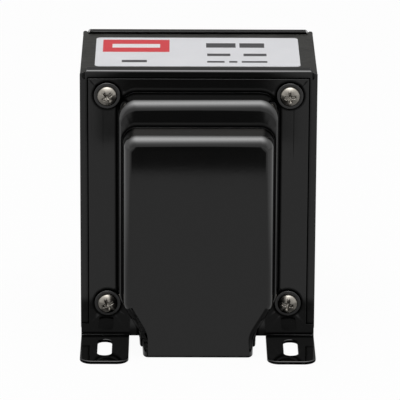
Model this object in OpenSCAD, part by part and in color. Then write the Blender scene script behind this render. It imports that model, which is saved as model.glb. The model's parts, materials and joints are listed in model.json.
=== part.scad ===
// Laminated chassis transformer: an interleaved steel core and a layer-wound coil
// between two drawn steel bells with slotted feet, clamped by four through screws.
// Millimetres. Front faces -Y, up is +Z, the feet stand on z = 0.

/* [Core] */
// Width of the core across its laminations
core_w = 97.4; // [90:0.1:104]
// Height of the core
core_h = 109.3; // [100:0.1:118]
// Thickness of the whole stack, front to back
stack_d = 61.6; // [40:0.1:80]
// Width of an outer leg, and of a window
leg_w = 18.2; // [16:0.1:20]
// Packs of laminations, alternately turned left and right
packs = 14; // [6:2:28]
// Height of the core's underside above the feet
core_z = 6.3; // [5:0.1:12]

/* [Bells] */
// Thickness of the drawn sheet
sheet_t = 1.4; // [1:0.05:1.6]
// Thickness of the coined rim and of the lip folded over the core
rim_t = 1.0; // [0.8:0.05:1.2]
// How far a bell's sides stand out past the core's
bell_over = 0.15; // [0.05:0.05:1]
// Width of the coined rim around the raised panel
rim_w = 3.5; // [2.5:0.1:5]
// Length of the lip over the core's top, from the rim's face
lip_len = 4.7; // [3:0.1:8]
// Outer radius of the fold between rim and lip
lip_r = 0.9; // [0.5:0.1:1]
// How far the lip's ends stand in from the bell's sides
lip_in = 2.1; // [1.5:0.1:5]
// Length of the relief slit below each end of the lip
slit_len = 2.6; // [1.5:0.1:4]
// Width of the relief slits
slit_w = 0.5; // [0.4:0.1:1]
// Height of the bulge's open bottom edge above the feet
bell_z = 0.5; // [0.2:0.1:1.2]
// Height of the sheet's bottom edge between the bulge and the feet
edge_z = 1; // [0.8:0.1:2]

/* [Bulge] */
// How far the bulge's sides stand in from the core's
bulge_in = 15.4; // [15.2:0.1:17]
// How far the first step's top lies below the core's
step1_in = 8.3; // [8.2:0.1:14]
// How far the first step stands out of the sheet
step1_out = 12; // [8:0.5:15]
// Edge radius of the first step's top
step1_r = 4.2; // [2:0.1:5]
// Inset of the second step's side walls from the first step's
step_inset = 2.2; // [2:0.1:3]
// How far the second step's top lies below the first step's
step_drop = 11.4; // [8:0.1:16]
// How far the second step stands out of the sheet
step2_out = 25; // [20:0.5:30]
// Edge radius of the second step
step2_r = 4.2; // [3.2:0.1:5]
// Corner radius of the bulge, seen from the front
corner_r = 8; // [7.5:0.1:10]
// Radius where the bulge leaves the sheet
root_r = 0.2; // [0.1:0.1:0.5]
// Draft of each step's walls over their height
draft = 0.4; // [0.2:0.05:0.6]
// How far the sides of the narrow neck between the feet stand in from the bulge's
neck_in = 8.9; // [7.5:0.1:13]
// Height at which the walls start to taper in to the neck
taper_z = 21.2; // [20:0.1:30]
// Slope of the taper from the vertical, in degrees
taper_deg = 29.6; // [20:0.1:40]

/* [Feet] */
// Width of a foot
foot_w = 20.1; // [16:0.1:20.5]
// Length of a foot, from the sheet's face
foot_len = 31.8; // [26:0.1:38]
// Inner radius of the bend between sheet and foot
bend_r = 0.5; // [0.3:0.1:2]
// Corner radius of a foot's end
foot_corner_r = 5; // [2:0.1:6]
// How far a foot's outer edge stands in from the core's side
foot_in = 0; // [0:0.1:2]
// Distance of a slot's middle from the core's face
slot_reach = 16.5; // [14:0.1:18]
// Width of a mounting slot
slot_w = 6; // [5:0.1:7]
// Length of a mounting slot, front to back
slot_len = 19; // [9:0.1:20]

/* [Coil] */
// Thickness of the winding tube
tube_t = 1.4; // [1:0.1:2]
// The primary winding's share of the two windings' build
primary_share = 0.54; // [0.4:0.01:0.6]
// Thickness of the insulation between the windings
between_t = 0.9; // [0.5:0.1:1.5]
// Clearance between the wound coil and the far side of the window
build_gap = 1.35; // [0.8:0.05:2]
// Thickness of the outer wrap
wrap_t = 0.8; // [0.4:0.1:1.2]
// Width of the margin left of and right of each winding
margin_w = 4; // [2:0.5:6]
// Least clearance between the coil's ends and the window
coil_gap = 2.2; // [2:0.1:3]
// Thickness of the wedges that hold the tube on the tongue
wedge_t = 0.8; // [0.5:0.1:1.2]

/* [Fasteners] */
// How far the screws stand in from the core's sides
screw_in_x = 11.1; // [10:0.1:11.2]
// How far the screws stand in from the core's top and underside
screw_in_z = 9.5; // [8:0.1:9.6]
// Diameter of a screw's shank
screw_d = 4.1; // [3.5:0.1:4.5]
// Diameter of a screw's pan head
head_d = 8.2; // [7:0.1:9]
// Height of a screw's pan head
head_h = 2.7; // [2:0.1:3.5]
// Diameter of the washers against the bells
washer_d = 10.8; // [9:0.1:11]
// Thickness of the washers against the bells
washer_t = 1.0; // [0.6:0.1:1.6]
// Width of a nut across its flats
nut_af = 8.7; // [8:0.1:9.5]
// Thickness of a nut
nut_t = 3.3; // [2.5:0.1:4]
// Thickness of a split lock washer
lock_t = 1.1; // [0.8:0.1:1.4]
// Pitch of the thread
thread_pitch = 0.8; // [0.6:0.05:1]

/* [Label] */
// Length of the sticker on the core's top
label_w = 85; // [70:0.5:90]
// Depth of the sticker, front to back
label_d = 43.4; // [35:0.1:48]
// Thickness of the sticker
label_t = 0.15; // [0.1:0.05:0.3]
// Corner radius of the sticker
label_r = 2; // [1:0.1:4]

/* [Hidden] */
$fn = 64;
eps = 0.01;
over = 1;                          // how far a cut runs past what it cuts
core_top = core_z + core_h;
core_mid = core_z + core_h / 2;
back_y = stack_d / 2;              // rear face of the front sheet, as a distance
face_y = back_y + sheet_t;         // the sheet's outer face
rim_y = back_y + rim_t;            // the coined rim's outer face
bell_top = core_top + rim_t;
bell_half = core_w / 2 + bell_over;
panel_half = bell_half - rim_w;
panel_top = bell_top - rim_w;
lip_half = bell_half - lip_in;
coin_w = 0.4;                      // width and depth of the line coined round the panel
coin_deep = 0.4;
rim_drop = 2.2;                    // how far the rim's sides reach below the core
rim_low = core_z - rim_drop;
rim_corner_r = 0.8;                // corner radius of the rim and of the lip's ends
lip_corner_r = 1.5;
rim_join = 1;                      // how far rim and panel run into each other
foot_mid = core_w / 2 - foot_in - foot_w / 2;
foot_inner = foot_mid - foot_w / 2;
foot_end = face_y + foot_len;
slot_y = back_y + slot_reach;
bulge_half = core_w / 2 - bulge_in;
step1_top = core_top - step1_in;
neck_half = bulge_half - neck_in;
side1_r = 1.1;                     // edge radius of the first step's sides
side2_r = 3.4;                     // edge radius of the second step's sides
crease_r = 0.3;                    // radius in the angle between the steps
neck_ease = 0.63;                  // the neck's walls step in less than the others
hollow_r = 7;                      // radius where the taper meets the neck
ring_gap = 0.1;                    // least distance between the inner skin's rings
arc_n = 9;                         // facets round a corner seen from the front
bend_n = 5;                        // facets round a corner of the tapering walls
fold_n = 8;                        // facets round a fold of the sheet
window_w = core_w - 2 * leg_w;
tongue_h = 2 * leg_w;
window_h = (core_h - 2 * leg_w - tongue_h) / 2;
pack_t = stack_d / packs;
hole_gap = 0.3;
fit_gap = 0.1;                     // radial clearance of sleeves, screws and nuts
sleeve_in = screw_d + 2 * fit_gap;
sleeve_out = screw_d + 1;
core_hole_d = sleeve_out + 2 * fit_gap;
bell_hole_d = screw_d + 2 * hole_gap;
bell_gap = 0.8;                    // least clearance between coil and bulge
coil_w = min(window_w - 2 * coil_gap,
             2 * (bulge_half - step_inset - draft - sheet_t - bell_gap));
tube_r = 0.5;                      // inner corner radius of the winding tube
tongue_gap = 0.3;
windings_t = window_h - wedge_t - tube_t - between_t - wrap_t - build_gap;
primary_t = primary_share * windings_t;
secondary_t = windings_t - primary_t;
wedge_in = 4;                      // how far the wedges' edges stand in from the stack's
wedge_w = stack_d - 2 * wedge_in;
screw_pitch_x = core_w - 2 * screw_in_x;
screw_pitch_z = core_h - 2 * screw_in_z;
lock_d = 7.3;                      // outside of a lock washer, and its split
lock_split = 0.9;
lock_slant = 15;
seat_y = face_y + washer_t;        // underside of a screw head
screw_tail = 3;                    // how far a screw stands out of its nut
end_y = seat_y + lock_t + nut_t + screw_tail;
head_rise = 1.7;                   // rise of a head's dome above its edge
thread_len = lock_t + nut_t + screw_tail;
recess_w = 1.15;                   // width, length and depth of a cross recess
recess_len = 4.4;
recess_deep = 1.5;
recess_point = 0.3;                // how far the recess's middle runs deeper
thread_deep = 0.4;                 // depth of the thread, as a part of its pitch
nut_bevel = 0.2;                   // height of a nut's chamfer, as a part of its height
recess_turn = [24, -12, 38, 6];    // how far round each cross recess was driven
label_y = -0.9;
label_x = -0.4;

// ---- shared shapes ----

// Rounded rectangle centred on the origin
module rounded_rect(w, h, r) {
    square([w - 2 * r, h], center = true);
    square([w, h - 2 * r], center = true);
    for (x = [-1, 1], y = [-1, 1])
        translate([x * (w / 2 - r), y * (h / 2 - r)]) circle(r);
}

// Copies its child to both sides of the middle plane
module both_sides() {
    children();
    mirror([1, 0, 0]) children();
}

// Copies its child to the four screws, facing forward
module at_screws() {
    for (x = [-1, 1], z = [-1, 1])
        translate([x * screw_pitch_x / 2, 0, core_mid + z * screw_pitch_z / 2])
            rotate([90, 0, 0]) children();
}

// Turns a front piece into the rear one
module at_rear() {
    rotate([0, 0, 180]) children();
}

// ---- drawn bulge of the bells ----
// Seen from the front: x to the right, y up, z out of the sheet. Each ring runs from
// the bell's open bottom up the right side, over the top and down the left side.

function arc(centre, r, from, to, n) =
    [for (i = [0:n]) centre + r * [cos(from + (to - from) * i / n),
                                   sin(from + (to - from) * i / n)]];

// Right half of a ring, o inside the bulge's foot at the sides and o_top at the top
function half_ring(o, o_top) =
    let (m = tan(taper_deg),
         round_c = bulge_half - corner_r,
         start_z = taper_z + o * tan(taper_deg / 2),
         neck_x = neck_half - neck_ease * o,
         r = hollow_r + o,
         hollow_z = start_z - (bulge_half - o - neck_x - r + r / cos(taper_deg)) / m,
         shoulder_z = taper_z + corner_r * tan(taper_deg / 2))
    concat([[neck_x, bell_z]],
           arc([neck_x + r, hollow_z], r, 180, 180 - taper_deg, bend_n),
           arc([round_c, shoulder_z], corner_r - o, -taper_deg, 0, bend_n),
           arc([round_c, step1_top - corner_r - (o_top - o)], corner_r - o, 0, 90, arc_n));

function ring(o, o_top) =
    let (right = half_ring(o, o_top), n = len(right))
    concat(right, [for (i = [n - 1:-1:0]) [-right[i][0], right[i][1]]]);

// Wall sections as [side inset, top inset, height], from the sheet to the face
outer_section = concat(
    [for (a = [0:30:90]) let (o = -root_r * (1 - sin(a)))
        [o, o, root_r * (1 - cos(a))]],
    [for (a = [0:18:90])
        [draft + side1_r * (1 - cos(a)), draft + step1_r * (1 - cos(a)),
         step1_out - step1_r * (1 - sin(a))]],
    [for (a = [0:30:90])
        [step_inset - crease_r * (1 - sin(a)), step_drop - crease_r * (1 - sin(a)),
         step1_out + crease_r * (1 - cos(a))]],
    [for (a = [0:15:90])
        [step_inset + draft + side2_r * (1 - cos(a)),
         step_drop + draft + step2_r * (1 - cos(a)), step2_out - step2_r * (1 - sin(a))]]);

inner_section = let (t = sheet_t, step_o = draft + t + ring_gap) concat(
    [for (a = [0:30:90]) let (o = -root_r + (root_r + t) * sin(a))
        [o, o, root_r - (root_r + t) * cos(a)]],
    [for (a = [0:18:90])
        [draft + t + ring_gap * (1 - cos(a)), draft + t + (step1_r - t) * (1 - cos(a)),
         step1_out - step1_r + (step1_r - t) * sin(a)]],
    [for (a = [0:30:90])
        [step_o + ring_gap + (step_inset + t - step_o - ring_gap) * sin(a),
         step_drop - crease_r + (crease_r + t) * sin(a),
         step1_out - t + (crease_r + t) * (1 - cos(a))]],
    [for (a = [0:15:90])
        [step_inset + draft + t + (side2_r - t) * (1 - cos(a)),
         step_drop + draft + t + (step2_r - t) * (1 - cos(a)),
         step2_out - step2_r + (step2_r - t) * sin(a)]]);

function skin_points(section) =
    [for (s = section) for (q = ring(s[0], s[1])) [q[0], q[1], s[2]]];

// Triangles between neighbouring rings of one skin
function skin_faces(rings, n, first, flip) =
    [for (k = [0:rings - 2], i = [0:n - 2])
        let (a = first + k * n + i, b = a + 1, c = a + n, d = c + 1)
        each flip ? [[a, b, d], [a, d, c]] : [[a, d, b], [a, c, d]]];

// Quads along the open bottom, between an outer and an inner skin of equal rings
function end_faces(rings, n, base) =
    [for (k = [0:rings - 2]) each [
        [k * n, (k + 1) * n, base + (k + 1) * n, base + k * n],
        [(k + 2) * n - 1, (k + 1) * n - 1, base + (k + 1) * n - 1, base + (k + 2) * n - 1]]];

// The drawn shell, open at the back and at the bottom
module bulge() {
    n = len(ring(0, 0));
    rings = len(outer_section);
    base = rings * n;
    cap = base - n;
    inner_cap = base + cap;
    polyhedron(
        points = concat(skin_points(outer_section), skin_points(inner_section)),
        faces = concat(
            skin_faces(rings, n, 0, false),
            skin_faces(rings, n, base, true),
            end_faces(rings, n, base),
            [for (i = [0:n - 2]) each [[i, i + 1, base + i + 1], [i, base + i + 1, base + i]]],
            [[for (i = [n - 1:-1:0]) cap + i],
             [for (i = [0:n - 1]) inner_cap + i],
             [cap, cap + n - 1, inner_cap + n - 1, inner_cap]]));
}

// ---- bells ----

// Side view of the sheet, down through the bend and out to the foot's end
module foot_section() {
    bend_out = bend_r + sheet_t;
    bend_at = [back_y + bend_out, bend_out];
    polygon(concat([[back_y, core_z]], arc(bend_at, bend_out, 180, 270, fold_n),
                   [[foot_end, 0], [foot_end, sheet_t]],
                   arc(bend_at, bend_r, 270, 180, fold_n), [[face_y, core_z]]));
}

// Plan of a foot, from the stack outwards, with its slot and its rounded end
module foot_plan() {
    difference() {
        union() {
            translate([-foot_w / 2, back_y]) square([foot_w, foot_len / 2]);
            translate([0, foot_end - foot_len / 2])
                rounded_rect(foot_w, foot_len, foot_corner_r);
        }
        translate([0, slot_y]) {
            square([slot_w, slot_len - slot_w], center = true);
            for (y = [-1, 1])
                translate([0, y * (slot_len - slot_w) / 2]) circle(d = slot_w);
        }
    }
}

// One foot, on the right-hand side
module foot() {
    translate([foot_mid, 0, 0]) mirror([0, 1, 0]) intersection() {
        linear_extrude(core_z) foot_plan();
        translate([-foot_w / 2, 0, 0]) rotate([90, 0, 90])
            linear_extrude(foot_w) foot_section();
    }
}

// Side view of the rim with the lip folded over the core
module rim_section() {
    polygon(concat([[-back_y, core_top], [-back_y, rim_low], [-rim_y, rim_low]],
                   arc([lip_r - rim_y, bell_top - lip_r], lip_r, 180, 90, fold_n),
                   [[lip_len - rim_y, bell_top], [lip_len - rim_y, core_top]]));
}

// Front view of the rim: the lip ends short of the sides, over a slit at each corner
module rim_outline() {
    difference() {
        union() {
            translate([0, (rim_low + core_top) / 2])
                rounded_rect(2 * bell_half, core_top - rim_low, rim_corner_r);
            translate([0, bell_top / 2]) rounded_rect(2 * lip_half, bell_top, lip_corner_r);
        }
        translate([-lip_half, 0]) square([2 * lip_half, rim_low]);
        both_sides() translate([lip_half, core_top - slit_len]) {
            translate([slit_w / 2, 0]) circle(d = slit_w);
            square([slit_w, slit_len + over]);
        }
    }
}

// Coined rim, cut out to the panel's edge, with the coined line round it
module rim() {
    difference() {
        intersection() {
            translate([-bell_half, 0, 0]) rotate([90, 0, 90])
                linear_extrude(2 * bell_half) rim_section();
            translate([0, lip_len - rim_y + over, 0]) rotate([90, 0, 0])
                linear_extrude(lip_len + 2 * over) rim_outline();
        }
        translate([rim_join - panel_half, -rim_y - over, rim_low - over])
            cube([2 * (panel_half - rim_join), rim_t + 2 * over,
                  panel_top - rim_join - rim_low + over]);
        translate([-panel_half - coin_w, -rim_y - over, rim_low - over])
            cube([2 * (panel_half + coin_w), over + coin_deep,
                  panel_top + coin_w - rim_low + over]);
    }
}

// Sheet inside the rim and down between the feet, open where the bulge stands
module panel() {
    foot_ring = ring(-root_r, -root_r);
    translate([0, 0, -sheet_t]) linear_extrude(sheet_t) difference() {
        union() {
            translate([-panel_half, rim_low]) square([2 * panel_half, panel_top - rim_low]);
            translate([-foot_inner - rim_join, edge_z])
                square([2 * (foot_inner + rim_join), core_z]);
        }
        polygon(concat([[foot_ring[0][0], -over]], foot_ring, [[-foot_ring[0][0], -over]]));
    }
}

// A whole bell, drawn from one sheet
module bell() {
    difference() {
        union() {
            rim();
            both_sides() foot();
            translate([0, -face_y, 0]) rotate([90, 0, 0]) panel();
        }
        translate([0, over - back_y, 0]) at_screws()
            cylinder(d = bell_hole_d, h = sheet_t + 2 * over);
    }
    translate([0, -face_y, 0]) rotate([90, 0, 0]) bulge();
}

module bell_front() {
    color([0.03, 0.03, 0.03]) bell();
}

module bell_rear() {
    color([0.03, 0.03, 0.03]) at_rear() bell();
}

// ---- core ----

// Outline of one lamination, without its bolt holes: the E has its back on the left
module e_outline() {
    translate([-core_w / 2, core_z]) difference() {
        square([core_w - leg_w, core_h]);
        for (z = [leg_w, core_h - leg_w - window_h])
            translate([leg_w, z]) square([core_w, window_h]);
    }
}

module i_outline() {
    translate([core_w / 2 - leg_w, core_z]) square([leg_w, core_h]);
}

// Every second pack of one shape, starting with the given one
module lamination_packs(first) {
    for (i = [first:2:packs - 1])
        translate([0, back_y - i * pack_t, 0]) rotate([90, 0, 0])
            linear_extrude(pack_t) difference() {
                children();
                for (x = [-1, 1], z = [-1, 1])
                    translate([x * screw_pitch_x / 2, core_mid + z * screw_pitch_z / 2])
                        circle(d = core_hole_d);
            }
}

module e_lams_left() {
    color([0.12, 0.12, 0.12]) lamination_packs(0) e_outline();
}

module i_lams_right() {
    color([0.12, 0.12, 0.12]) lamination_packs(0) i_outline();
}

module e_lams_right() {
    color([0.12, 0.12, 0.12]) lamination_packs(1) mirror([1, 0]) e_outline();
}

module i_lams_left() {
    color([0.12, 0.12, 0.12]) lamination_packs(1) mirror([1, 0]) i_outline();
}

// ---- coil, wound round the core's middle leg ----

// One layer of the coil between two depths of build, along the middle leg
module coil_layer(from, to, length) {
    w = stack_d + 2 * tongue_gap;
    h = tongue_h + 2 * wedge_t;
    translate([-length / 2, 0, core_mid]) rotate([90, 0, 90])
        linear_extrude(length) difference() {
            rounded_rect(w + 2 * to, h + 2 * to, tube_r + to);
            rounded_rect(w + 2 * from, h + 2 * from, tube_r + from);
        }
}

primary_at = tube_t;
between_at = primary_at + primary_t;
secondary_at = between_at + between_t;
wrap_at = secondary_at + secondary_t;

module coil_tube() {
    color([0.62, 0.48, 0.3]) coil_layer(0, tube_t, coil_w);
}

module primary_winding() {
    color([0.6, 0.26, 0.1]) coil_layer(primary_at, between_at, coil_w - 2 * margin_w);
}

module primary_wrap() {
    color([0.7, 0.6, 0.4]) coil_layer(between_at, secondary_at, coil_w);
}

module secondary_winding() {
    color([0.55, 0.24, 0.1]) coil_layer(secondary_at, wrap_at, coil_w - 2 * margin_w);
}

module coil_wrap() {
    color([0.8, 0.72, 0.5]) coil_layer(wrap_at, wrap_at + wrap_t, coil_w);
}

// Paper collars that fill the ends of both windings
module coil_margins() {
    color([0.75, 0.65, 0.45])
        for (x = [-1, 1]) translate([x * (coil_w - margin_w) / 2, 0, 0]) {
            coil_layer(primary_at, between_at, margin_w);
            coil_layer(secondary_at, wrap_at, margin_w);
        }
}

// Fibre strips that wedge the tube on the middle leg
module core_wedges() {
    color([0.5, 0.2, 0.12])
        for (z = [-1, 1])
            translate([-coil_w / 2, -wedge_w / 2,
                       core_mid + z * (tongue_h + wedge_t) / 2 - wedge_t / 2])
                cube([coil_w, wedge_w, wedge_t]);
}

// ---- fasteners ----

// Cross recess, sunk from the top of a head at z = 0
module cross_recess() {
    for (turn = [0, 90]) rotate(turn)
        translate([-recess_w / 2, -recess_len / 2, -recess_deep])
            cube([recess_w, recess_len, recess_deep + over]);
    translate([0, 0, -recess_deep - recess_point])
        cylinder(r1 = recess_w / 2, r2 = recess_w, h = recess_deep);
}

// One screw, its axis on z and its head up, z = 0 in the middle of the core
module screw(turn) {
    dome_r = (pow(head_d / 2, 2) + pow(head_rise, 2)) / (2 * head_rise);
    turns = floor(thread_len / thread_pitch);
    root = screw_d / 2 - thread_deep * thread_pitch;
    difference() {
        translate([0, 0, seat_y]) intersection() {
            cylinder(d = head_d, h = head_h);
            translate([0, 0, head_h - dome_r]) sphere(dome_r);
        }
        translate([0, 0, seat_y + head_h]) rotate(turn) cross_recess();
    }
    rotate_extrude() polygon(concat(
        [[0, seat_y + eps], [0, -end_y], [root, -end_y]],
        [for (i = [0:turns - 1]) each [
            [screw_d / 2, -end_y + (i + 0.5) * thread_pitch],
            [root, -end_y + (i + 1) * thread_pitch]]],
        [[screw_d / 2, -end_y + (turns + 0.5) * thread_pitch],
         [screw_d / 2, seat_y + eps]]));
}

module screws() {
    color([0.75, 0.73, 0.68])
        for (i = [0:3]) let (x = i % 2 * 2 - 1, z = floor(i / 2) * 2 - 1)
            translate([x * screw_pitch_x / 2, 0, core_mid + z * screw_pitch_z / 2])
                rotate([90, 0, 0]) screw(recess_turn[i]);
}

module screw_sleeves() {
    color([0.85, 0.8, 0.65]) at_screws() difference() {
        cylinder(d = sleeve_out, h = stack_d, center = true);
        cylinder(d = sleeve_in, h = stack_d + 2 * over, center = true);
    }
}

module bell_washer() {
    difference() {
        cylinder(d = washer_d, h = washer_t);
        translate([0, 0, -over]) cylinder(d = sleeve_in, h = washer_t + 2 * over);
    }
}

module front_washers() {
    color([0.04, 0.04, 0.04]) at_screws() translate([0, 0, face_y]) bell_washer();
}

module rear_washers() {
    color([0.04, 0.04, 0.04])
        at_screws() translate([0, 0, -face_y - washer_t]) bell_washer();
}

module lock_washers() {
    color([0.6, 0.6, 0.6]) at_screws()
        translate([0, 0, -seat_y - lock_t]) difference() {
            cylinder(d = lock_d, h = lock_t);
            translate([0, 0, -over]) cylinder(d = sleeve_in, h = lock_t + 2 * over);
            translate([0, -lock_split / 2, -over]) rotate([lock_slant, 0, 0])
                cube([lock_d, lock_split, lock_t + 3 * over]);
        }
}

module nuts() {
    corner_d = nut_af / cos(30);
    color([0.65, 0.65, 0.62]) at_screws()
        translate([0, 0, -seat_y - lock_t - nut_t]) difference() {
            intersection() {
                rotate(recess_turn[0]) cylinder(d = corner_d, h = nut_t, $fn = 6);
                union() {
                    cylinder(d1 = nut_af, d2 = corner_d, h = nut_bevel * nut_t);
                    translate([0, 0, nut_bevel * nut_t])
                        cylinder(d = corner_d + over, h = nut_t);
                }
            }
            translate([0, 0, -over]) cylinder(d = sleeve_in, h = nut_t + 2 * over);
        }
}

// ---- sticker ----

module label() {
    color([0.82, 0.82, 0.84]) translate([label_x, label_y, core_top])
        linear_extrude(label_t) rounded_rect(label_w, label_d, label_r);
}

bell_front();
bell_rear();
e_lams_left();
e_lams_right();
i_lams_left();
i_lams_right();
coil_tube();
core_wedges();
primary_winding();
primary_wrap();
secondary_winding();
coil_wrap();
coil_margins();
screws();
screw_sleeves();
front_washers();
rear_washers();
lock_washers();
nuts();
label();
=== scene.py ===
"""Finish, stage and camera for the laminated chassis transformer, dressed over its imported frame."""

import bmesh
import bpy
import json
import math
from mathutils import Matrix, Vector


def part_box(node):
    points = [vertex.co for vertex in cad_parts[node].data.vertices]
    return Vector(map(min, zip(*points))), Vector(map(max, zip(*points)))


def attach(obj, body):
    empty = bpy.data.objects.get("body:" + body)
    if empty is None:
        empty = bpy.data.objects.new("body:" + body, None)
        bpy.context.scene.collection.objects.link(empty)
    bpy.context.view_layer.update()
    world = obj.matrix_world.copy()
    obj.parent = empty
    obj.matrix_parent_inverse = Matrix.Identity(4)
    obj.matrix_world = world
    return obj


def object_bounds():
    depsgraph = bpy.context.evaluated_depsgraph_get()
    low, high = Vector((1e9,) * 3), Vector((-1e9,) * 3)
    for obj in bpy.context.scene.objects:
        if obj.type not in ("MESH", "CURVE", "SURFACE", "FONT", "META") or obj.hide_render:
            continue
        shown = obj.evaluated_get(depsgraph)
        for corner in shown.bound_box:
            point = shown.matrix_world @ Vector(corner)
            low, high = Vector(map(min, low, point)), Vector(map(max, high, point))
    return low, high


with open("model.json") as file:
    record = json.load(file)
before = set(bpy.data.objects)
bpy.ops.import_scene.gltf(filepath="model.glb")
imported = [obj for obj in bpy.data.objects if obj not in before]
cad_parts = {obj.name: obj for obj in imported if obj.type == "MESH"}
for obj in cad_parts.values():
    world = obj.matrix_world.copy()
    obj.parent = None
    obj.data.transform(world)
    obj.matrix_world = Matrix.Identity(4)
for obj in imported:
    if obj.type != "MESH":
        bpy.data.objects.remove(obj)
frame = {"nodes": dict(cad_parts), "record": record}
nodes = frame["nodes"]
cad_low, cad_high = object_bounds()
MM = 0.001

# Where the pieces lie, read from the frame
LABEL_LOW, LABEL_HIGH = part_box("label")
STACK_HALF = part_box("e_lams_left")[1].y      # half the depth of the core
CENTRE = (cad_low + cad_high) / 2


# ---------------------------------------------------------------- node helpers

class Tree:
    """A short way to write one node tree: nodes with their inputs and values."""

    def __init__(self, tree):
        self.tree = tree

    def add(self, kind, inputs=None, **settings):
        node = self.tree.nodes.new(kind)
        for name, value in settings.items():
            setattr(node, name, value)
        for name, value in (inputs or {}).items():
            if isinstance(value, bpy.types.NodeSocket):
                self.tree.links.new(value, node.inputs[name])
            else:
                node.inputs[name].default_value = value
        return node

    def math(self, operation, a, b=0.0, clamp=False):
        return self.add("ShaderNodeMath", {0: a, 1: b}, operation=operation, use_clamp=clamp).outputs[0]

    def ramp(self, value, low, high, to_low=0.0, to_high=1.0):
        """Smoothly carries value from low..high to to_low..to_high."""
        node = self.add("ShaderNodeMapRange", {"Value": value, "From Min": low, "From Max": high,
                                               "To Min": to_low, "To Max": to_high},
                        interpolation_type="SMOOTHSTEP")
        return node.outputs["Result"]

    def mix_colour(self, fac, a, b):
        """Colour a where fac is 0, colour b where it is 1; the node's colour sockets are found by number."""
        node = self.add("ShaderNodeMix", data_type="RGBA")
        for index, value in ((0, fac), (6, a), (7, b)):
            if isinstance(value, bpy.types.NodeSocket):
                self.tree.links.new(value, node.inputs[index])
            else:
                node.inputs[index].default_value = value
        return node.outputs[2]


def colour(r, g, b):
    return (r, g, b, 1.0)


def new_group(name, inputs, outputs):
    """An empty shader group with its sockets; returns its tree helper, input node and output node."""
    group = bpy.data.node_groups.new(name, "ShaderNodeTree")
    for socket, kind, value in inputs:
        made = group.interface.new_socket(socket, in_out="INPUT", socket_type=kind)
        made.default_value = value
    for socket, kind in outputs:
        group.interface.new_socket(socket, in_out="OUTPUT", socket_type=kind)
    tree = Tree(group)
    return group, tree, tree.add("NodeGroupInput"), tree.add("NodeGroupOutput")


FLOAT = "NodeSocketFloat"


def make_orange_peel():
    """Ripple of sprayed and baked paint, as a height."""
    group, t, given, out = new_group("paint_ripple", [("Size", FLOAT, 900.0), ("Run", FLOAT, 0.3)],
                                     [("Height", FLOAT)])
    place = t.add("ShaderNodeTexCoord").outputs["Object"]
    fine = t.add("ShaderNodeTexNoise", {"Vector": place, "Scale": given.outputs["Size"], "Detail": 1.0})
    slow_size = t.math("MULTIPLY", given.outputs["Size"], 0.12)
    slow = t.add("ShaderNodeTexNoise", {"Vector": place, "Scale": slow_size, "Detail": 2.0})
    run = t.math("MULTIPLY", slow.outputs["Fac"], given.outputs["Run"])
    total = t.math("ADD", fine.outputs["Fac"], run)
    t.tree.links.new(total, out.inputs["Height"])
    return group


def make_edge_wear():
    """1 where an outside edge is rubbed, 0 elsewhere, broken up by noise."""
    group, t, given, out = new_group(
        "edge_wear", [("Radius", FLOAT, 0.0005), ("Amount", FLOAT, 0.5), ("Grain", FLOAT, 700.0)],
        [("Mask", FLOAT)])
    soft = t.add("ShaderNodeBevel", {"Radius": given.outputs["Radius"]}, samples=6)
    true = t.add("ShaderNodeNewGeometry").outputs["Normal"]
    dot = t.add("ShaderNodeVectorMath", {0: soft.outputs["Normal"], 1: true}, operation="DOT_PRODUCT")
    edge = t.ramp(dot.outputs["Value"], 0.97, 0.8)
    place = t.add("ShaderNodeTexCoord").outputs["Object"]
    noise = t.add("ShaderNodeTexNoise", {"Vector": place, "Scale": given.outputs["Grain"], "Detail": 4.0})
    broken = t.ramp(noise.outputs["Fac"], 0.45, 0.65)
    mask = t.math("MULTIPLY", t.math("MULTIPLY", edge, broken), given.outputs["Amount"], clamp=True)
    t.tree.links.new(mask, out.inputs["Mask"])
    return group


def make_dust():
    """Fine dust that settles on faces that look up, as a mask."""
    group, t, given, out = new_group("dust", [("Amount", FLOAT, 0.2), ("Grain", FLOAT, 1500.0)],
                                     [("Mask", FLOAT)])
    up = t.add("ShaderNodeSeparateXYZ", {0: t.add("ShaderNodeNewGeometry").outputs["Normal"]}).outputs["Z"]
    level = t.ramp(up, 0.6, 1.0)
    place = t.add("ShaderNodeTexCoord").outputs["Object"]
    specks = t.add("ShaderNodeTexNoise", {"Vector": place, "Scale": given.outputs["Grain"], "Detail": 2.0})
    clouds = t.add("ShaderNodeTexNoise", {"Vector": place, "Scale": 60.0, "Detail": 3.0})
    both = t.math("MULTIPLY", t.ramp(specks.outputs["Fac"], 0.5, 0.75),
                  t.ramp(clouds.outputs["Fac"], 0.35, 0.7))
    mask = t.math("MULTIPLY", t.math("MULTIPLY", both, level), given.outputs["Amount"], clamp=True)
    t.tree.links.new(mask, out.inputs["Mask"])
    return group


def make_painted_corner_shade():
    """1 deep in an inside corner, found by occlusion: marks where shade is painted into the creases."""
    group, t, given, out = new_group("corner", [("Reach", FLOAT, 0.001)], [("Mask", FLOAT)])
    open_share = t.add("ShaderNodeAmbientOcclusion", {"Distance": given.outputs["Reach"]}, samples=8)
    t.tree.links.new(t.ramp(open_share.outputs["AO"], 0.96, 0.84), out.inputs["Mask"])
    return group


def make_mottle():
    """Slow unevenness between 0 and 1, for roughness and tone."""
    group, t, given, out = new_group("mottle", [("Size", FLOAT, 80.0), ("Contrast", FLOAT, 0.5)],
                                     [("Value", FLOAT)])
    place = t.add("ShaderNodeTexCoord").outputs["Object"]
    noise = t.add("ShaderNodeTexNoise", {"Vector": place, "Scale": given.outputs["Size"], "Detail": 4.0,
                                         "Roughness": 0.6})
    centred = t.math("SUBTRACT", noise.outputs["Fac"], 0.5)
    value = t.math("ADD", t.math("MULTIPLY", centred, given.outputs["Contrast"]), 0.5, clamp=True)
    t.tree.links.new(value, out.inputs["Value"])
    return group


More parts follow.
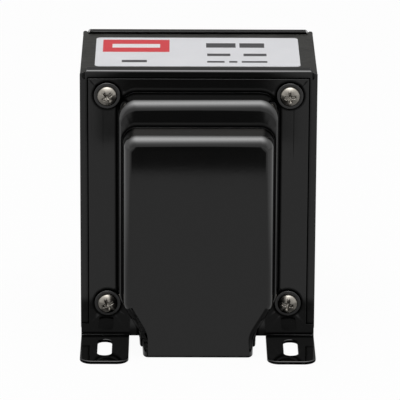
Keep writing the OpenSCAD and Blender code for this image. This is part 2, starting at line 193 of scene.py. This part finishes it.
def make_sheet_edges():
    """Edges of stacked sheets: a groove between neighbours and a tone for each sheet."""
    group, t, given, out = new_group("sheet_edges", [("Pitch", FLOAT, 0.0005)],
                                     [("Groove", FLOAT), ("Tone", FLOAT)])
    place = t.add("ShaderNodeTexCoord").outputs["Object"]
    across = t.add("ShaderNodeSeparateXYZ", {0: place}).outputs["Y"]
    count = t.math("DIVIDE", across, given.outputs["Pitch"])
    middle = t.math("ABSOLUTE", t.math("SUBTRACT", t.math("FRACT", count), 0.5))
    groove = t.ramp(middle, 0.38, 0.5)
    sheet = t.math("FLOOR", count)
    tone = t.add("ShaderNodeTexWhiteNoise", {"W": sheet}, noise_dimensions="1D")
    t.tree.links.new(groove, out.inputs["Groove"])
    t.tree.links.new(tone.outputs["Value"], out.inputs["Tone"])
    return group


RIPPLE = make_orange_peel()
EDGE_WEAR = make_edge_wear()
DUST = make_dust()
PAINTED_CORNER_SHADE = make_painted_corner_shade()
MOTTLE = make_mottle()
SHEETS = make_sheet_edges()


def new_material(name, **fixed):
    """A material with one shader whose fixed values go on its own sockets."""
    material = bpy.data.materials.new(name)
    material.use_nodes = True
    t = Tree(material.node_tree)
    material.node_tree.nodes.clear()
    shader = t.add("ShaderNodeBsdfPrincipled", fixed)
    t.add("ShaderNodeOutputMaterial", {"Surface": shader.outputs[0]})
    return material, t, shader


def use(t, group, **inputs):
    """A shared group placed in this material, with its inputs set."""
    node = t.add("ShaderNodeGroup", node_tree=group)
    for name, value in inputs.items():
        node.inputs[name].default_value = value
    return node


def bump(t, height, strength, distance):
    return t.add("ShaderNodeBump", {"Height": height, "Strength": strength,
                                    "Distance": distance}).outputs["Normal"]


def link(t, source, shader, name):
    t.tree.links.new(source, shader.inputs[name])


# ---------------------------------------------------------------- materials

def black_enamel():
    """Gloss black baked enamel on the bells, with a little dust, a painted sheen on the outermost up-facing
    ledges and painted shade in the inside corners.
    """
    material, t, shader = new_material("bell_enamel", **{"IOR": 1.5})
    wear = use(t, EDGE_WEAR, Radius=0.0004, Amount=0.35).outputs["Mask"]
    dust = use(t, DUST, Amount=0.02).outputs["Mask"]
    # Mask for painted shade in the inside corners
    corner = use(t, PAINTED_CORNER_SHADE, Reach=0.0016).outputs["Mask"]
    mottle = use(t, MOTTLE, Size=70.0, Contrast=0.6).outputs["Value"]
    place = t.add("ShaderNodeSeparateXYZ", {0: t.add("ShaderNodeTexCoord").outputs["Object"]})
    # Painted sheen: up-facing ledges well out from the core and above the feet are lightened towards the
    # dust colour, standing for reflected light
    out_from_core = t.ramp(t.math("ABSOLUTE", place.outputs["Y"]),
                           STACK_HALF + 10 * MM, STACK_HALF + 16 * MM)
    up = t.add("ShaderNodeSeparateXYZ", {0: t.add("ShaderNodeNewGeometry").outputs["Normal"]}).outputs["Z"]
    above_feet = t.ramp(place.outputs["Z"], 15 * MM, 25 * MM)
    painted_ledge_sheen = t.math("MULTIPLY", t.math("MULTIPLY", t.ramp(up, 0.93, 1.0), out_from_core),
                  t.math("MULTIPLY", above_feet, 0.26))
    base = t.mix_colour(mottle, colour(0.0008, 0.0008, 0.0007), colour(0.0014, 0.0014, 0.0013))
    worn = t.mix_colour(wear, base, colour(0.02, 0.02, 0.019))
    # Real dust and the painted sheen share one lighter colour
    dust_and_sheen = t.mix_colour(t.math("MAXIMUM", dust, painted_ledge_sheen), worn, colour(0.12, 0.115, 0.11))
    # Painted shade in the inside corners: near-black base, metallic so they mirror nothing, and rougher
    # below
    link(t, t.mix_colour(corner, dust_and_sheen, colour(0.0008, 0.0008, 0.0008)), shader, "Base Color")
    link(t, corner, shader, "Metallic")
    gloss = t.ramp(mottle, 0.2, 0.8, 0.05, 0.085)
    dull = t.math("ADD", t.math("MULTIPLY", wear, 0.2), t.math("MULTIPLY", dust, 0.5))
    link(t, t.math("ADD", t.math("ADD", gloss, dull), t.math("MULTIPLY", corner, 0.3), clamp=True),
         shader, "Roughness")
    ripple = use(t, RIPPLE, Size=700.0, Run=0.5).outputs["Height"]
    link(t, bump(t, ripple, 0.25, 0.00001), shader, "Normal")
    return material


def core_varnish():
    """Satin black varnish over the edges of the laminations."""
    material, t, shader = new_material("core_paint", **{"IOR": 1.5, "Specular IOR Level": 0.21})
    sheets = use(t, SHEETS, Pitch=0.0005)
    mottle = use(t, MOTTLE, Size=120.0, Contrast=1.0).outputs["Value"]
    dust = use(t, DUST, Amount=0.1).outputs["Mask"]
    base = t.mix_colour(mottle, colour(0.008, 0.008, 0.0072), colour(0.014, 0.0138, 0.0124))
    toned = t.mix_colour(t.math("MULTIPLY", sheets.outputs["Tone"], 0.35), base,
                         colour(0.02, 0.0195, 0.0175))
    grooved = t.mix_colour(t.math("MULTIPLY", sheets.outputs["Groove"], 0.35), toned,
                           colour(0.006, 0.006, 0.006))
    link(t, t.mix_colour(dust, grooved, colour(0.14, 0.135, 0.12)), shader, "Base Color")
    link(t, t.ramp(mottle, 0.2, 0.8, 0.34, 0.5), shader, "Roughness")
    ripple = use(t, RIPPLE, Size=500.0, Run=0.8).outputs["Height"]
    level = t.math("SUBTRACT", t.math("MULTIPLY", ripple, 0.4), sheets.outputs["Groove"])
    link(t, bump(t, level, 0.35, 0.00004), shader, "Normal")
    return material


def nickel():
    """Nickel plate on the pan-head screws."""
    material, t, shader = new_material("screw_plate", **{"Metallic": 1.0})
    mottle = use(t, MOTTLE, Size=500.0, Contrast=1.2).outputs["Value"]
    wear = use(t, EDGE_WEAR, Radius=0.0003, Amount=0.6, Grain=2500.0).outputs["Mask"]
    base = t.mix_colour(mottle, colour(0.155, 0.144, 0.126), colour(0.215, 0.203, 0.183))
    link(t, t.mix_colour(wear, base, colour(0.42, 0.41, 0.38)), shader, "Base Color")
    link(t, t.ramp(mottle, 0.2, 0.8, 0.16, 0.3), shader, "Roughness")
    ripple = use(t, RIPPLE, Size=2500.0, Run=0.6).outputs["Height"]
    link(t, bump(t, ripple, 0.2, 0.00002), shader, "Normal")
    return material


def zinc():
    """Zinc plate on the nuts and lock washers."""
    material, t, shader = new_material("nut_plate", **{"Metallic": 1.0})
    mottle = use(t, MOTTLE, Size=600.0, Contrast=1.4).outputs["Value"]
    base = t.mix_colour(mottle, colour(0.46, 0.46, 0.45), colour(0.66, 0.66, 0.63))
    link(t, base, shader, "Base Color")
    link(t, t.ramp(mottle, 0.2, 0.8, 0.28, 0.42), shader, "Roughness")
    ripple = use(t, RIPPLE, Size=3000.0, Run=0.4).outputs["Height"]
    link(t, bump(t, ripple, 0.3, 0.00003), shader, "Normal")
    return material


def black_oxide():
    """Black oxide on the plain washers."""
    material, t, shader = new_material("washer_black", **{"IOR": 1.6})
    wear = use(t, EDGE_WEAR, Radius=0.0003, Amount=0.5, Grain=1800.0).outputs["Mask"]
    mottle = use(t, MOTTLE, Size=400.0, Contrast=1.0).outputs["Value"]
    base = t.mix_colour(mottle, colour(0.006, 0.006, 0.006), colour(0.012, 0.0115, 0.011))
    link(t, t.mix_colour(wear, base, colour(0.05, 0.048, 0.044)), shader, "Base Color")
    link(t, t.ramp(mottle, 0.2, 0.8, 0.25, 0.4), shader, "Roughness")
    ripple = use(t, RIPPLE, Size=2500.0, Run=0.4).outputs["Height"]
    link(t, bump(t, ripple, 0.3, 0.00002), shader, "Normal")
    return material


def fibrous(name, dark, pale, rough):
    """Paper and board: fibres, flecks and a dull face."""
    material, t, shader = new_material(name, **{"Specular IOR Level": 0.3})
    place = t.add("ShaderNodeTexCoord").outputs["Object"]
    fibres = t.add("ShaderNodeTexNoise", {"Vector": place, "Scale": 900.0, "Detail": 5.0,
                                          "Distortion": 1.5})
    mottle = use(t, MOTTLE, Size=120.0, Contrast=1.2).outputs["Value"]
    tone = t.math("MULTIPLY", t.math("ADD", fibres.outputs["Fac"], mottle), 0.5)
    link(t, t.mix_colour(t.ramp(tone, 0.35, 0.65), colour(*dark), colour(*pale)), shader, "Base Color")
    link(t, t.ramp(mottle, 0.2, 0.8, rough, rough + 0.15), shader, "Roughness")
    link(t, bump(t, fibres.outputs["Fac"], 0.5, 0.00004), shader, "Normal")
    return material


TURN_PITCH = 0.9 * MM


def copper_wire():
    """Turns of enamelled wire, laid side by side round the coil."""
    material, t, shader = new_material("copper_wire", **{"Metallic": 0.85, "Coat Weight": 0.6})
    place = t.add("ShaderNodeTexCoord").outputs["Object"]
    across = t.add("ShaderNodeSeparateXYZ", {0: place}).outputs["X"]
    turn = t.math("FRACT", t.math("DIVIDE", across, TURN_PITCH))
    crown = t.math("SINE", t.math("MULTIPLY", turn, math.pi))
    mottle = use(t, MOTTLE, Size=200.0, Contrast=1.0).outputs["Value"]
    base = t.mix_colour(mottle, colour(0.42, 0.14, 0.05), colour(0.62, 0.26, 0.1))
    # Painted shade: the valleys between turns are coloured darker
    link(t, t.mix_colour(crown, colour(0.12, 0.035, 0.015), base), shader, "Base Color")
    link(t, t.ramp(mottle, 0.2, 0.8, 0.22, 0.35), shader, "Roughness")
    link(t, bump(t, crown, 0.8, 0.0002), shader, "Normal")
    return material


def sticker_face():
    """Silver-grey sticker stock with a fine metallic grain."""
    material, t, shader = new_material("label_face", **{"Specular IOR Level": 0.5})
    mottle = use(t, MOTTLE, Size=60.0, Contrast=0.8).outputs["Value"]
    grain = use(t, MOTTLE, Size=4000.0, Contrast=1.0).outputs["Value"]
    base = t.mix_colour(mottle, colour(0.65, 0.655, 0.68), colour(0.72, 0.72, 0.74))
    grained = t.mix_colour(t.math("MULTIPLY", grain, 0.12), base, colour(0.55, 0.55, 0.57))
    link(t, grained, shader, "Base Color")
    link(t, t.ramp(mottle, 0.2, 0.8, 0.42, 0.55), shader, "Roughness")
    ripple = use(t, RIPPLE, Size=2500.0, Run=0.5).outputs["Height"]
    link(t, bump(t, ripple, 0.15, 0.00001), shader, "Normal")
    return material


def print_ink(name, thin, full):
    """Screen-printed ink: a little uneven, and glossier than the sticker under it."""
    material, t, shader = new_material(name, **{"Specular IOR Level": 0.5})
    grain = use(t, MOTTLE, Size=1800.0, Contrast=0.9).outputs["Value"]
    link(t, t.mix_colour(grain, colour(*thin), colour(*full)), shader, "Base Color")
    link(t, t.ramp(grain, 0.2, 0.8, 0.35, 0.45), shader, "Roughness")
    ripple = use(t, RIPPLE, Size=3000.0, Run=0.3).outputs["Height"]
    link(t, bump(t, ripple, 0.15, 0.00001), shader, "Normal")
    return material


FINISHES = {
    "bell_enamel": black_enamel(),
    "core_paint": core_varnish(),
    "tube_board": fibrous("tube_board", (0.22, 0.14, 0.07), (0.36, 0.25, 0.14), 0.7),
    "copper_wire": copper_wire(),
    "coil_paper": fibrous("coil_paper", (0.4, 0.29, 0.14), (0.58, 0.46, 0.27), 0.5),
    "wedge_fibre": fibrous("wedge_fibre", (0.14, 0.04, 0.025), (0.24, 0.08, 0.05), 0.6),
    "screw_plate": nickel(),
    "nut_plate": zinc(),
    "washer_black": black_oxide(),
    "sleeve_film": fibrous("sleeve_film", (0.5, 0.43, 0.28), (0.62, 0.55, 0.38), 0.45),
    "label_face": sticker_face(),
}


# ---------------------------------------------------------------- carried-over pieces

# Full width of the rounding on each node's outside edges, in millimetres, and its segments
ROUNDING = {
    "bell_front": (0.3, 3), "bell_rear": (0.3, 3),
    "e_lams_left": (0.15, 1), "e_lams_right": (0.15, 1),
    "i_lams_left": (0.15, 1), "i_lams_right": (0.15, 1),
    "screws": (0.2, 2), "nuts": (0.35, 2), "lock_washers": (0.25, 1),
    "front_washers": (0.35, 2), "rear_washers": (0.35, 2), "label": (0.05, 1),
}
ROUND_FROM = math.radians(32)    # only edges that turn by more than this are rounded
UPPER_SHARE = 0.4                # share of the full width that edges away from the feet get
FOOT_TOP = 3 * MM                # the feet lie below this height
FOOT_FROM = 36 * MM              # and their outer edges start this far from the middle
SHORT_EDGE = 0.7 * MM            # shorter edges lie in the small bends, and stay as they are
WELD_REACH = 0.002 * MM
FACE_PULL = 90                   # how strongly large faces set the smoothed shading, out of 100


def outside_edges():
    """Marks how much each edge that stands outwards is rounded; the others stay as they are."""
    group = bpy.data.node_groups.new("outside_edges", "GeometryNodeTree")
    group.interface.new_socket("Geometry", in_out="INPUT", socket_type="NodeSocketGeometry")
    group.interface.new_socket("Geometry", in_out="OUTPUT", socket_type="NodeSocketGeometry")
    t = Tree(group)
    given = t.add("NodeGroupInput")
    angle = t.add("GeometryNodeInputMeshEdgeAngle").outputs["Signed Angle"]
    outside = t.add("FunctionNodeCompare", {"A": angle, "B": ROUND_FROM}, data_type="FLOAT",
                    operation="GREATER_THAN")
    ends = t.add("GeometryNodeInputMeshEdgeVertices")
    length = t.add("ShaderNodeVectorMath",
                   {0: ends.outputs["Position 1"], 1: ends.outputs["Position 2"]},
                   operation="DISTANCE").outputs["Value"]
    place = t.add("ShaderNodeSeparateXYZ", {0: t.add("GeometryNodeInputPosition").outputs[0]})
    low = t.math("LESS_THAN", place.outputs["Z"], FOOT_TOP)
    far_out = t.math("GREATER_THAN", t.math("ABSOLUTE", place.outputs["Y"]), FOOT_FROM)
    on_foot = t.math("MULTIPLY", low, far_out)
    share = t.math("ADD", UPPER_SHARE, t.math("MULTIPLY", on_foot, 1 - UPPER_SHARE))
    long_enough = t.math("GREATER_THAN", length, SHORT_EDGE)
    room = t.math("MULTIPLY", share, t.math("MAXIMUM", on_foot, long_enough))
    weight = t.math("MULTIPLY", outside.outputs["Result"], room)
    store = t.add("GeometryNodeStoreNamedAttribute",
                  {"Geometry": given.outputs["Geometry"], "Name": "bevel_weight_edge", "Value": weight},
                  data_type="FLOAT", domain="EDGE")
    out = t.add("NodeGroupOutput")
    t.tree.links.new(store.outputs["Geometry"], out.inputs["Geometry"])
    return group


OUTSIDE_EDGES = outside_edges()


def dress_nodes():
    """Gives every node its finish, joins its faces, and rounds and smooths those that show."""
    slots = {part["node"]: part["material_slot"] for part in frame["record"]["subparts"]}
    for name, piece in nodes.items():
        piece.data.materials.clear()
        piece.data.materials.append(FINISHES[slots[name]])
        weld = piece.modifiers.new("weld", "WELD")
        weld.merge_threshold = WELD_REACH
        if name not in ROUNDING:
            continue
        width, segments = ROUNDING[name]
        marks = piece.modifiers.new("outside", "NODES")
        marks.node_group = OUTSIDE_EDGES
        bevel = piece.modifiers.new("round", "BEVEL")
        bevel.width = width * MM
        bevel.segments = segments
        bevel.limit_method = "WEIGHT"
        bevel.use_clamp_overlap = False
        smooth = piece.modifiers.new("smooth", "WEIGHTED_NORMAL")
        smooth.weight = FACE_PULL
        smooth.keep_sharp = False


dress_nodes()


# ---------------------------------------------------------------- print on the sticker

INK_T = 0.012 * MM     # thickness of one layer of ink
LABEL_MID = (LABEL_LOW + LABEL_HIGH) / 2


def plate(name, fields, finish, lift):
    """Flat printed fields [(x, y, width, depth)], in mm from the sticker's middle, as one thin piece."""
    mesh = bpy.data.meshes.new(name)
    shape = bmesh.new()
    bottom = LABEL_HIGH.z + lift
    corners = [(-1, -1), (1, -1), (1, 1), (-1, 1)]
    for x, y, width, depth in fields:
        low, high = [[shape.verts.new((LABEL_MID.x + (x + i * width / 2) * MM,
                                       LABEL_MID.y + (y + j * depth / 2) * MM, level))
                      for i, j in corners] for level in (bottom, bottom + INK_T)]
        shape.faces.new(high)
        shape.faces.new(low[::-1])
        for k in range(4):
            shape.faces.new((low[k], low[(k + 1) % 4], high[(k + 1) % 4], high[k]))
    shape.to_mesh(mesh)
    shape.free()
    piece = bpy.data.objects.new(name, mesh)
    bpy.context.scene.collection.objects.link(piece)
    piece.data.materials.append(finish)
    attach(piece, "root")


RED_INK = print_ink("red_ink", (0.53, 0.03, 0.04), (0.58, 0.045, 0.055))
DARK_INK = print_ink("dark_ink", (0.02, 0.02, 0.022), (0.035, 0.035, 0.037))
WHITE_INK = print_ink("white_ink", (0.78, 0.76, 0.76), (0.84, 0.82, 0.82))

# The red field carries one plain bar; the rest of the print is plain rules of three weights
plate("print_red_field", [(-25.6, 9.0, 27.9, 18.6)], RED_INK, 0.0)
plate("print_white_bar", [(-25.6, 9.0, 20.0, 5.6)], WHITE_INK, INK_T)
plate("print_rules",
      [(9.9, 9.9, 12.4, 6.8), (22.9, 9.9, 10.4, 6.8),
       (8.9, -4.4, 9.6, 3.6), (24.0, -4.4, 9.6, 3.6),
       (7.6, -14.9, 7.2, 2.5), (14.8, -14.9, 3.4, 2.5), (23.6, -14.9, 10.6, 2.5),
       (-26.2, -14.1, 10.4, 3.4)], DARK_INK, 0.0)


# ---------------------------------------------------------------- stage

GLOW_WAY = Vector((0.0, -0.1, 0.99)).normalized()
GLOW_TIGHTNESS = 6.0
GLOW_LEVEL = 8.4
FRONT_LEVEL, BACK_LEVEL = 0.8, 0.13      # of the walls, seen in gloss
SIDE_EXTRA = 0.9
FILL_LEVEL = 0.4                         # of the light that dull faces get from all round


def make_lamp(name, place, target, side, watts):
    """A square soft lamp that gloss doesn't mirror, because the glow overhead stands for it there."""
    light = bpy.data.lights.new(name, "AREA")
    light.shape = "RECTANGLE"
    light.size, light.size_y = side, side
    light.energy = watts
    lamp = bpy.data.objects.new(name, light)
    lamp.location = place
    bpy.context.scene.collection.objects.link(lamp)
    lamp.rotation_euler = (Vector(target) - lamp.location).to_track_quat("-Z", "Y").to_euler()
    lamp.visible_glossy = False


def make_world():
    """White to the camera; for gloss, a room pale in front and beside and dark behind, under a glow."""
    world = bpy.data.worlds.new("studio")
    bpy.context.scene.world = world
    world.use_nodes = True
    world.node_tree.nodes.clear()
    t = Tree(world.node_tree)
    path = t.add("ShaderNodeLightPath")
    way = t.add("ShaderNodeTexCoord").outputs["Generated"]
    toward = t.add("ShaderNodeVectorMath", {0: way, 1: GLOW_WAY}, operation="DOT_PRODUCT").outputs["Value"]
    fall = t.math("EXPONENT", t.math("MULTIPLY", t.math("SUBTRACT", toward, 1.0), GLOW_TIGHTNESS))
    glow = t.math("MULTIPLY", fall, GLOW_LEVEL)
    axes = t.add("ShaderNodeSeparateXYZ", {0: way})
    walls = t.ramp(axes.outputs["Y"], -0.9, 0.9, FRONT_LEVEL, BACK_LEVEL)
    beside = t.ramp(t.math("ABSOLUTE", axes.outputs["X"]), 0.4, 0.95, 0.0, SIDE_EXTRA)
    gloss = t.math("ADD", t.math("ADD", walls, beside), glow)
    seen = t.math("MAXIMUM", path.outputs["Is Camera Ray"], path.outputs["Is Transmission Ray"])
    fill, room, white = [
        t.add("ShaderNodeBackground", {"Color": colour(1, 1, 1), "Strength": level}).outputs[0]
        for level in (FILL_LEVEL, gloss, 1.0)]
    lit = t.add("ShaderNodeMixShader", {0: path.outputs["Is Glossy Ray"], 1: fill, 2: room}).outputs[0]
    whole = t.add("ShaderNodeMixShader", {0: seen, 1: lit, 2: white}).outputs[0]
    t.add("ShaderNodeOutputWorld", {"Surface": whole})


def floor_level(t):
    """How bright the floor is in gloss: dim and brighter at the sides, with painted shadow under the object
    and where it shows through the foot slots, and a painted dark strip further in front.
    """
    place = t.add("ShaderNodeSeparateXYZ", {0: t.add("ShaderNodeNewGeometry").outputs["Position"]})
    across = t.math("ABSOLUTE", place.outputs["X"])
    along = t.math("ABSOLUTE", place.outputs["Y"])
    level = t.ramp(across, 0.12, 0.25, 0.6, 1.1)
    # Painted dark strip well in front, standing for something dark mirrored there
    painted_dark_strip = t.math("MULTIPLY", t.ramp(place.outputs["Y"], -0.303, -0.321), t.ramp(across, 0.055, 0.035))
    # Painted shadow of the object on the floor under it, and where the floor shows through the foot slots
    under = t.math("MULTIPLY", t.ramp(along, 0.052, 0.04), t.ramp(across, 0.042, 0.03))
    beyond_neck = t.math("MULTIPLY", t.ramp(along, 0.085, 0.075), t.ramp(across, 0.028, 0.032))
    slots = t.math("MULTIPLY", beyond_neck, t.ramp(across, 0.055, 0.048))
    # Each painted shadow or strip dims the gloss level by its amount
    for share, amount in ((painted_dark_strip, 0.86), (under, 0.8), (slots, 0.75)):
        level = t.math("MULTIPLY", level, t.math("SUBTRACT", 1.0, t.math("MULTIPLY", share, amount)))
    return level


def floor_material():
    """White table: plain to the camera with a faint shadow, dimmer in gloss, and clear from below."""
    material = bpy.data.materials.new("floor_white")
    material.use_nodes = True
    material.node_tree.nodes.clear()
    t = Tree(material.node_tree)

    def mixed(share, first, second):
        return t.add("ShaderNodeMixShader", {0: share, 1: first, 2: second}).outputs[0]

    path = t.add("ShaderNodeLightPath")
    paper = t.add("ShaderNodeBsdfDiffuse", {"Color": colour(0.85, 0.85, 0.85)}).outputs[0]
    white = t.add("ShaderNodeEmission", {"Strength": 1.0}).outputs[0]
    gloss = t.add("ShaderNodeEmission", {"Strength": floor_level(t)}).outputs[0]
    clear = t.add("ShaderNodeBsdfTransparent").outputs[0]
    lit = mixed(path.outputs["Is Glossy Ray"], paper, gloss)
    whole = mixed(path.outputs["Is Camera Ray"], lit, mixed(0.95, paper, white))
    behind = t.add("ShaderNodeNewGeometry").outputs["Backfacing"]
    t.add("ShaderNodeOutputMaterial", {"Surface": mixed(behind, whole, clear)})
    return material


FLOOR_HALF = 4.0
FLOOR_Z = -0.02 * MM     # a hair under the feet


def make_floor():
    mesh = bpy.data.meshes.new("floor")
    corners = [(x * FLOOR_HALF, y * FLOOR_HALF, FLOOR_Z) for x, y in ((-1, -1), (1, -1), (1, 1), (-1, 1))]
    mesh.from_pydata(corners, [], [(0, 1, 2, 3)])
    floor = bpy.data.objects.new("floor", mesh)
    bpy.context.scene.collection.objects.link(floor)
    mesh.materials.append(floor_material())


AZIMUTH, ELEVATION, ROLL = math.radians(-0.391), math.radians(18.135), math.radians(0.274)
LOOK_AT = Vector((0.994, 0.0, 50.329)) * MM
DISTANCE = 1.6381
FOCAL_MM = 348.26


def make_camera():
    """Straight on and 18 degrees up, from a long way off."""
    back = Vector((math.sin(AZIMUTH) * math.cos(ELEVATION), -math.cos(AZIMUTH) * math.cos(ELEVATION),
                   math.sin(ELEVATION)))
    right = (-back).cross(Vector((0, 0, 1))).normalized()
    up = right.cross(-back)
    side = math.cos(ROLL) * right + math.sin(ROLL) * up
    top = -math.sin(ROLL) * right + math.cos(ROLL) * up
    lens = bpy.data.cameras.new("camera")
    lens.sensor_width = 36.0
    lens.lens = FOCAL_MM
    lens.clip_end = 20.0
    camera = bpy.data.objects.new("camera", lens)
    turn = Matrix((side, top, back)).transposed().to_4x4()
    camera.matrix_world = Matrix.Translation(LOOK_AT + back * DISTANCE) @ turn
    bpy.context.scene.collection.objects.link(camera)
    bpy.context.scene.camera = camera


make_world()
make_floor()
make_camera()
make_lamp("overhead", (0.0, -0.25, 1.3), CENTRE, 0.9, 9.5)
bpy.context.scene.view_settings.view_transform = "Standard"
